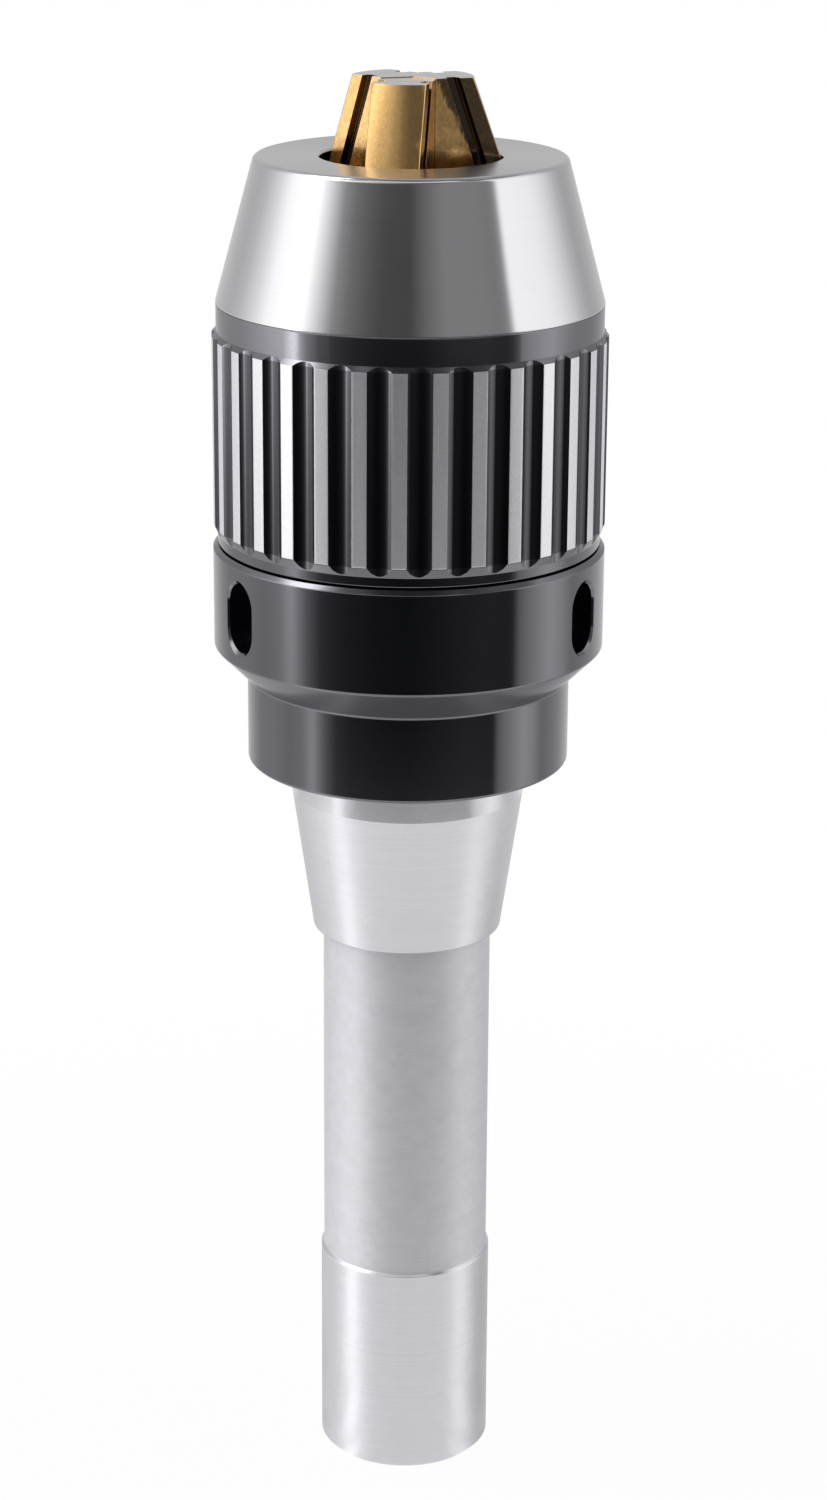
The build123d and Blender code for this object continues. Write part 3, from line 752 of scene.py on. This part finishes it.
shank = {
    "segments": 192,
    "pilot": 12.0585, "pilotTop": 30.5, "pilotChamfer": 0.7, "relief": 11.67,
    "taperLow": 80.15, "taperLowRadius": 13.033, "taperHigh": 100.05, "taperHighRadius": 15.98,
    "collarBore": 107.0, "seat": 18.0, "journalLow": 134.0, "journal": 18.6,
    "flangeLow": 144.55, "flange": 21.4, "flangeHigh": 148.65,
    "cup": 16.3, "cupFloor": 135.82, "threadBore": 11.5, "threadBoreFloor": 104.62,
    "hole": 4.95, "holeMouth": 6.0, "holeDepth": 32.0, "holePoint": 34.97,
    "threadPitch": 1.27, "threadDepth": 0.6, "threadFlat": 0.15, "threadLow": 1.2,
    "threadHigh": 27.0, "rowsPerPitch": 8,
    "endRound": 0.08, "pilotRound": 0.12, "stepRound": 0.1, "neckRound": 0.15, "taperRound": 0.2,
    "keyWidth": 4.06, "keyDepth": 2.4, "keyLength": 66.0, "keyAzimuth": 90.0,
}


def threadRipple(radius, z, turn):
    s = shank
    if abs(radius - s["hole"]) > tiny or not s["threadLow"] < z < s["threadHigh"]:
        return radius
    phase = (z / s["threadPitch"] - turn / (2 * math.pi)) % 1.0
    fade = min(1.0, (z - s["threadLow"]) / s["threadPitch"],
               (s["threadHigh"] - z) / s["threadPitch"])
    crest = (1 + s["threadFlat"]) * (1 - abs(2 * phase - 1)) - s["threadFlat"]
    return radius + s["threadDepth"] * fade * max(0.0, crest)


def makeShank():
    s = shank
    rows = int((s["threadHigh"] - s["threadLow"]) / s["threadPitch"] * s["rowsPerPitch"])
    step = (s["threadHigh"] - s["threadLow"]) / rows
    bore = [(s["hole"], s["threadHigh"] - step * i) for i in range(rows + 1)]
    outside = rounded([
        (s["hole"], s["threadLow"]), (s["hole"], s["holeMouth"] - s["hole"], s["endRound"]),
        (s["holeMouth"], 0, s["endRound"]), (s["pilot"] - s["pilotChamfer"], 0, s["endRound"]),
        (s["pilot"], s["pilotChamfer"], s["pilotRound"]),
        (s["pilot"], s["pilotTop"], s["stepRound"]),
        (s["relief"], s["pilotTop"] + s["pilot"] - s["relief"], s["stepRound"]),
        (s["relief"], s["taperLow"], s["neckRound"]),
        (s["taperLowRadius"], s["taperLow"], s["taperRound"]),
        (s["taperHighRadius"], s["taperHigh"], s["stepRound"]),
        (s["taperHighRadius"], s["collarBore"]),
        (s["seat"], s["collarBore"]), (s["seat"], s["journalLow"]),
        (s["journal"], s["journalLow"]), (s["journal"], s["flangeLow"]),
        (s["flange"], s["flangeLow"]), (s["flange"], s["flangeHigh"]),
        (s["cup"], s["flangeHigh"]), (s["cup"], s["cupFloor"]), (s["threadBore"], s["cupFloor"]),
        (s["threadBore"], s["threadBoreFloor"]), (0, s["threadBoreFloor"])], closed=False)
    outline = [(0, s["holePoint"]), (s["hole"], s["holeDepth"])] + bore
    outline += [tuple(p) for p in outside[1:]]
    piece = lathe("shankCore", outline, s["segments"], closed=False, ripple=threadRipple)
    half, floor, out = s["keyWidth"] / 2, s["pilot"] - s["keyDepth"], s["pilot"] + past
    sides = [(floor, -half), (out, -half), (out, half), (floor, half)]
    loops = [[rotated((x, y, z), s["keyAzimuth"]) for x, y in sides]
             for z in (-past, s["keyLength"])]
    return cutAway(piece, [prism("keyway", loops)])


dress(makeShank(), "shank_core", "body")


# rear collar with its wrench slots

collar = {
    "segments": 288,
    "bore": 16.0, "neck": 21.97, "rear": 104.87, "neckTop": 116.72, "coneTop": 121.17,
    "radius": 26.45, "front": 135.20, "edge": 0.6, "sealGroove": (22.2, 24.0, 133.6),
    "journalBore": 18.9, "journalLow": 134.0, "seat": 18.02, "seatLow": 107.0,
    "boreRound": 0.2, "neckRound": 0.4, "coneRound": 0.5, "edgeRound": 0.15, "roundSteps": 6,
    "slotWidth": 6.2, "slotHeight": 9.5, "slotFloor": 20.0, "slotZ": 127.85, "slotBevel": 0.45,
    "slotAzimuths": (91.8, -148.2, -28.2), "slotSteps": 14,
    "grub": 2.42, "grubSides": 32, "grubPast": 0.5,
}


def slotLoop(out, half, straight, azimuth):  # obround, standing up, at a distance from the axis
    points = []
    for end in (1, -1):
        for i in range(collar["slotSteps"] + 1):
            turn = math.pi * i / collar["slotSteps"]
            y, z = half * math.cos(turn) * end, half * math.sin(turn) * end + straight * end
            points.append(rotated((out, y, collar["slotZ"] + z), azimuth))
    return points


def grubLoop(out, azimuth):  # circle on the slot's own line, at a distance from the axis
    across, up = rotated((0, 1, 0), azimuth), Vector((0, 0, 1))
    centre = rotated((1, 0, 0), azimuth) * out + up * collar["slotZ"]
    return [centre + (across * math.cos(turn) + up * math.sin(turn)) * collar["grub"]
            for turn in evenTurns(collar["grubSides"])]


def makeCollar():
    c = collar
    low, high, floor = c["sealGroove"]
    outline = rounded([
        (c["bore"], c["rear"], c["boreRound"]), (c["neck"], c["rear"], c["neckRound"]),
        (c["neck"], c["neckTop"], c["coneRound"]), (c["radius"], c["coneTop"], c["coneRound"]),
        (c["radius"], c["front"] - c["edge"], c["edgeRound"]),
        (c["radius"] - c["edge"], c["front"], c["edgeRound"]),
        (high, c["front"]), (high, floor), (low, floor), (low, c["front"]),
        (c["journalBore"], c["front"]), (c["journalBore"], c["journalLow"]),
        (c["seat"], c["journalLow"]), (c["seat"], c["seatLow"]),
        (c["bore"], c["seatLow"])], steps=c["roundSteps"])
    piece = lathe("rearCollar", outline, c["segments"])
    half = c["slotWidth"] / 2
    straight = (c["slotHeight"] - c["slotWidth"]) / 2
    depths = [(c["slotFloor"], half), (c["radius"] - c["slotBevel"], half),
              (c["radius"] + past, half + past + c["slotBevel"])]
    cutters = []
    for azimuth in c["slotAzimuths"]:
        loops = [slotLoop(out, reach, straight, azimuth) for out, reach in depths]
        cutters.append(prism("slotCut", loops))
        ends = (c["seat"] - past, c["slotFloor"] + c["grubPast"])
        cutters.append(prism("grubHole", [grubLoop(out, azimuth) for out in ends]))
    return cutAway(piece, cutters)


dress(makeCollar(), "rear_collar", "body")


# fluted sleeve: one sector, set round the axis by geometry nodes

sleeve = {
    "bottom": 135.45, "top": 167.897, "band": 25.78, "land": 26.4,
    "lowerBandTop": 136.80, "landLow": 138.15, "landHigh": 163.497, "upperBandLow": 164.197,
    "lipBore": 19.8, "bearingBore": 23.0, "hoodBore": 24.2, "lipTop": 138.5, "hoodStep": 151.0,
    "flutes": 32, "firstAzimuth": -87.0, "fluteWidth": 3.25, "fluteDepth": 0.59,
    "fluteSteps": 12, "landEdge": 0.04, "bottomRound": 0.2, "topRound": 0.15,
    # points beside an edge that keep its sides straight; the first is in radians
    "supportTurn": 0.004, "landSupport": 0.12, "bandSupport": 0.08, "supportShare": 0.4,
}


def fluteColumns():  # (angle, radius) across one sector, from the middle of a land to the next
    s = sleeve
    half = s["fluteWidth"] / 2
    chord = math.sqrt(s["land"] ** 2 - half ** 2)
    depth = s["fluteDepth"] - (s["land"] - chord)
    cutter = (half ** 2 + depth ** 2) / (2 * depth)
    centre = chord - depth + cutter
    reach = math.asin(half / cutter) - s["landEdge"] / cutter
    steps = [reach * (2 * i / s["fluteSteps"] - 1) for i in range(s["fluteSteps"] + 1)]
    arc = [(centre - cutter * math.cos(t), cutter * math.sin(t)) for t in steps]
    flute = [(math.atan2(y, x), math.hypot(x, y)) for x, y in arc]
    edge = math.asin(half / s["land"]) + s["landEdge"] / s["land"]
    turns = (edge, edge + s["supportTurn"], math.pi / s["flutes"])
    return ([(-turn, s["land"]) for turn in reversed(turns)] + flute
            + [(turn, s["land"]) for turn in turns])


def sleeveRun(radius, inside, topEdge):  # (radius, height) once round the wall, at one angle
    s = sleeve
    band, low, high = s["band"], s["lowerBandTop"], s["upperBandLow"]
    lowSlope = (s["landLow"] - low) / (s["land"] - band)
    highSlope = (high - s["landHigh"]) / (s["land"] - band)
    rise = radius - band
    lowZ, highZ = low + rise * lowSlope, high - rise * highSlope
    soft = min(s["bandSupport"], s["supportShare"] * rise)
    return [
        *inside,
        (band, low - s["bandSupport"]), (band, low),
        (band + soft, low + soft * lowSlope), (radius - soft, lowZ - soft * lowSlope),
        (radius, lowZ), (radius, lowZ + s["landSupport"]),
        (radius, highZ - s["landSupport"]), (radius, highZ),
        (radius - soft, highZ + soft * highSlope), (band + soft, high - soft * highSlope),
        (band, high), (band, high + s["bandSupport"]),
        *topEdge]


def sectorMesh():
    s = sleeve
    inside = rounded([
        (s["hoodBore"], s["top"]), (s["hoodBore"], s["hoodStep"]),
        (s["bearingBore"], s["hoodStep"]), (s["bearingBore"], s["lipTop"]),
        (s["lipBore"], s["lipTop"]), (s["lipBore"], s["bottom"]),
        (s["band"], s["bottom"], s["bottomRound"]), (s["band"], s["lowerBandTop"])],
        closed=False)[:-1]
    topEdge = rounded([
        (s["band"], s["upperBandLow"]), (s["band"], s["top"], s["topRound"]),
        (s["hoodBore"], s["top"])], closed=False)[1:-1]
    points, columns = [], []
    for angle, radius in fluteColumns():
        run = sleeveRun(radius, inside, topEdge)
        columns.append(range(len(points), len(points) + len(run)))
        points += [(r * math.cos(angle), r * math.sin(angle), z) for r, z in run]
    faces = []
    for left, right in zip(columns, columns[1:]):
        for i in range(len(left)):
            j = (i + 1) % len(left)
            faces.append((left[i], left[j], right[j], right[i]))
    return meshFrom("fluteSector", points, faces)


def ringTree():
    tree = bpy.data.node_groups.new("fluteRing", "GeometryNodeTree")
    sockets = [("Geometry", "INPUT", "NodeSocketGeometry"), ("Flutes", "INPUT", "NodeSocketInt"),
               ("First Angle", "INPUT", "NodeSocketFloat"),
               ("Finish", "INPUT", "NodeSocketMaterial"),
               ("Geometry", "OUTPUT", "NodeSocketGeometry")]
    for name, side, kind in sockets:
        tree.interface.new_socket(name, in_out=side, socket_type=kind)
    add = Wiring(tree).node
    given = add("NodeGroupInput").outputs
    line = add("GeometryNodeMeshLine", inputs={"Count": given["Flutes"], "Offset": (0, 0, 0)})
    index = add("GeometryNodeInputIndex").outputs[0]
    step = add("ShaderNodeMath", {"operation": "DIVIDE"}, {0: 2 * math.pi, 1: given["Flutes"]})
    turn = add("ShaderNodeMath", {"operation": "MULTIPLY_ADD"},
               {0: index, 1: step.outputs[0], 2: given["First Angle"]})
    spin = add("ShaderNodeCombineXYZ", inputs={"Z": turn.outputs[0]})
    copies = add("GeometryNodeInstanceOnPoints", inputs={
        "Points": line.outputs[0], "Instance": given["Geometry"], "Rotation": spin.outputs[0]})
    real = add("GeometryNodeRealizeInstances", inputs={0: copies.outputs[0]})
    dressed = add("GeometryNodeSetMaterial", inputs={
        "Geometry": real.outputs[0], "Material": given["Finish"]})
    add("NodeGroupOutput", inputs={0: dressed.outputs[0]})
    return tree


def setInput(modifier, name, value):
    for item in modifier.node_group.interface.items_tree:
        if item.item_type == "SOCKET" and item.in_out == "INPUT" and item.name == name:
            modifier[item.identifier] = value


def makeSleeve():
    piece = addObject("flutedSleeve", sectorMesh())
    ring = piece.modifiers.new("ring", "NODES")
    ring.node_group = ringTree()
    setInput(ring, "Flutes", sleeve["flutes"])
    setInput(ring, "First Angle", math.radians(sleeve["firstAzimuth"]))
    setInput(ring, "Finish", finishes["black_oxide"])
    applied(piece)
    tidyMesh(piece.data, sectorGap)
    return piece


dress(makeSleeve(), "fluted_sleeve", "sleeve")


# conical nose

nose = {
    "segments": 256,
    "foot": 154.5, "spigot": 24.15, "sealFloor": 22.64, "sealLow": 163.567, "sealHigh": 165.227,
    "step": 167.897, "rim": 25.78, "rimTop": 168.05, "face": 186.997, "faceRadius": 20.636,
    "mouth": 11.91, "mouthChamfer": 0.3, "innerRadius": 22.3, "tip": 8.4,
    "rimRound": 0.05, "faceRound": 0.8, "mouthRound": 0.1, "roundSteps": 8,
}


def onTilt(radius, z):  # a cone round the jaws: its radius at the tips, then at a height
    return radius + (jawTop - z) * math.tan(math.radians(jawTilt))


def makeNose():
    n = nose
    mouthZ = n["face"] - n["mouthChamfer"]
    coneFoot = jawTop - (n["innerRadius"] - n["tip"]) / math.tan(math.radians(jawTilt))
    outline = rounded([
        (n["innerRadius"], n["foot"]), (n["spigot"], n["foot"]), (n["spigot"], n["sealLow"]),
        (n["sealFloor"], n["sealLow"]), (n["sealFloor"], n["sealHigh"]),
        (n["spigot"], n["sealHigh"]), (n["spigot"], n["step"]),
        (n["rim"], n["step"], n["rimRound"]), (n["rim"], n["rimTop"], n["rimRound"]),
        (n["faceRadius"], n["face"], n["faceRound"]),
        (n["mouth"] + n["mouthChamfer"], n["face"], n["mouthRound"]),
        (onTilt(n["tip"], mouthZ), mouthZ, n["mouthRound"]),
        (n["innerRadius"], coneFoot)], steps=n["roundSteps"])
    return lathe("noseCone", outline, n["segments"])


dress(makeNose(), "nose_cone", "sleeve")


# jaws

jaw = {
    "weld": 2e-6,          # metres, between the CAD mesh's loose triangles
    "flatAngle": 0.3, "bevel": 0.07, "bevelSteps": 3, "sharp": 50,
    "tipBand": 0.01,       # points this near the top belong to the tip's flat
    "tipRadius": 8.1, "backReach": 0.07, "backFacing": 0.95,
}


def makeJaw(letter):
    mesh = frame["nodes"]["jaw_" + letter].data.copy()
    mesh.name = "jaw" + letter.upper()
    shape = bmesh.new()
    shape.from_mesh(mesh)
    bmesh.ops.remove_doubles(shape, verts=shape.verts, dist=jaw["weld"])
    bmesh.ops.dissolve_limit(shape, angle_limit=math.radians(jaw["flatAngle"]),
                             verts=shape.verts, edges=shape.edges)
    top = max(v.co.z for v in shape.verts)
    for v in shape.verts:
        if v.co.z > top - jaw["tipBand"] * mm:
            v.co.z -= goldLook["tipDrop"][letter] * mm
    shape.to_mesh(mesh)
    shape.free()
    piece = addObject("jaw" + letter.upper(), mesh)
    soft = piece.modifiers.new("edges", "BEVEL")
    soft.width, soft.segments, soft.limit_method = jaw["bevel"] * mm, jaw["bevelSteps"], "ANGLE"
    soft.angle_limit, soft.use_clamp_overlap = math.radians(jaw["sharp"]), True
    return applied(piece)


def trueBack(piece):  # a jaw's back is part of one cone, whatever its triangles say
    mesh = piece.data
    lean = math.radians(jawTilt)
    normals = [Vector(corner.vector) for corner in mesh.corner_normals]
    for corner, loop in enumerate(mesh.loops):
        x, y, z = mesh.vertices[loop.vertex_index].co / mm
        radius = math.hypot(x, y)
        if abs(radius - onTilt(jaw["tipRadius"], z)) > jaw["backReach"]:
            continue
        outward = Vector((x / radius * math.cos(lean), y / radius * math.cos(lean),
                          math.sin(lean)))
        if normals[corner].dot(outward) > jaw["backFacing"]:
            normals[corner] = outward
    mesh.normals_split_custom_set(normals)


for letter in "abc":
    piece = makeJaw(letter)
    dress(piece, "jaw_" + letter, "jaw_" + letter)
    trueBack(piece)

bpy.context.view_layer.update()
